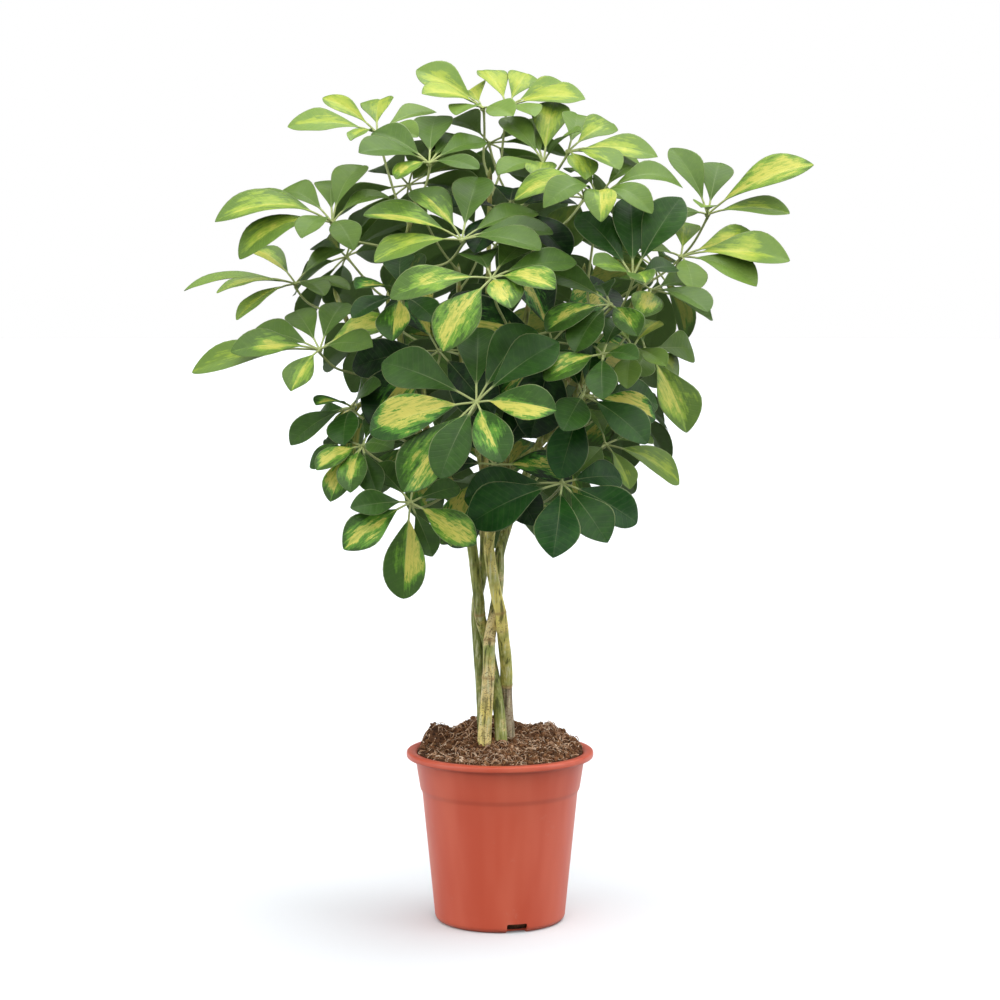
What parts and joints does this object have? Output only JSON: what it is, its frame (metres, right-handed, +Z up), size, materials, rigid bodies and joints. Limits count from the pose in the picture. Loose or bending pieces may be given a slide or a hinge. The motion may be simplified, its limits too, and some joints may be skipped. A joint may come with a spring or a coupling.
{
  "type": "potted umbrella plant",
  "caption": "Umbrella plant grown as a small tree: wound slim stems and a round crown of variegated hand-shaped leaves, in soil in a round tapered nursery pot.",
  "frame": {"origin": "centre of the pot's flat underside, on the ground", "axes": "+Z up along the trunk; the pictured front faces -Y; +X is to the right as seen from the front"},
  "size_m": [0.6931, 0.5287, 0.9543],
  "materials": {
    "pot": "satin moulded terracotta-coloured polypropylene",
    "soil": "rough dark peat with light fibres",
    "bark": "young olive bark with tan leaf-scar rings",
    "leaf": "glossy dark green, marbled with yellow"
  },
  "bodies": {
    "root": {"pot": "pot", "soil": "soil", "stem_a": "bark", "stem_b": "bark", "stem_c": "bark", "stem_d": "bark", "leaf_front_centre": "leaf", "leaf_front_upper": "leaf", "leaf_upper_centre": "leaf", "leaf_upper_left": "leaf", "leaf_top_left": "leaf", "leaf_apex_left": "leaf", "leaf_apex_right": "leaf", "leaf_top_right": "leaf", "leaf_right_crown": "leaf", "leaf_arched_right": "leaf", "leaf_far_right": "leaf", "leaf_right_middle": "leaf", "leaf_dark_right": "leaf", "leaf_right_lower": "leaf", "leaf_centre_right": "leaf", "leaf_left_front": "leaf", "leaf_left_upper": "leaf", "leaf_far_left": "leaf", "leaf_left_shaded": "leaf", "leaf_lower_left": "leaf", "leaf_lower_left_front": "leaf", "leaf_low_front_left": "leaf", "leaf_low_front_right": "leaf", "leaf_right_front": "leaf", "leaf_right_drooping": "leaf", "leaf_right_pale": "leaf", "leaf_right_bottom": "leaf", "leaf_right_inner": "leaf", "leaf_inner_left": "leaf", "leaf_inner_right": "leaf", "leaf_inner_low": "leaf", "leaf_inner_top": "leaf", "leaf_back_top": "leaf", "leaf_back_top_left": "leaf", "leaf_back_top_right": "leaf", "leaf_back_left": "leaf", "leaf_back_right": "leaf", "leaf_back_upper": "leaf", "leaf_back_mid_left": "leaf", "leaf_back_mid_right": "leaf", "leaf_back_centre": "leaf", "leaf_side_left": "leaf", "leaf_side_right": "leaf", "leaf_back_low_left": "leaf", "leaf_back_low_right": "leaf", "leaf_back_bottom": "leaf"}
  },
  "joints": []
}
